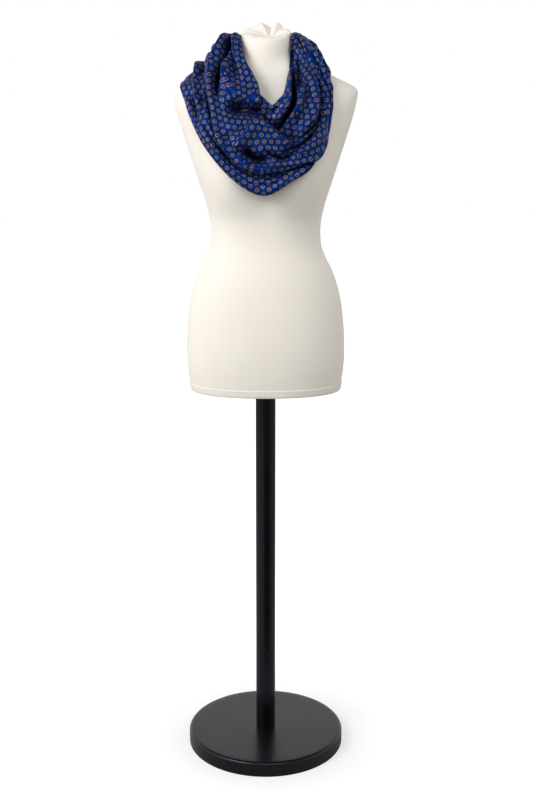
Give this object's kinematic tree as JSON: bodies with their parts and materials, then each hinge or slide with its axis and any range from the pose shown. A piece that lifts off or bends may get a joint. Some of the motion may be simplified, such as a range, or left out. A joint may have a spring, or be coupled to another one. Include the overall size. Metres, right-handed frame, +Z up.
{
  "type": "infinity scarf on dress form",
  "caption": "Printed satin infinity scarf wound twice round the neck of a limbless padded dress form on a black pole with a round base.",
  "frame": {"origin": "on the floor under the centre of the round base", "axes": "+Z up along the pole, the wearer's front faces -Y, +X to the right as seen from the front"},
  "size_m": [0.366, 0.34, 1.5416],
  "materials": {
    "scarf_satin": "printed satin weave",
    "form_cover": "brushed cotton jersey over padding",
    "stand_paint": "black satin powder coat"
  },
  "bodies": {
    "root": {"base_disc": "stand_paint", "pole": "stand_paint", "form_torso": "form_cover", "form_hem_band": "form_cover", "scarf_front_sweep": "scarf_satin", "scarf_back_upper_cowl": "scarf_satin", "scarf_front_fall": "scarf_satin", "scarf_back_lower_cowl": "scarf_satin", "scarf_under_strand": "scarf_satin"}
  },
  "joints": []
}
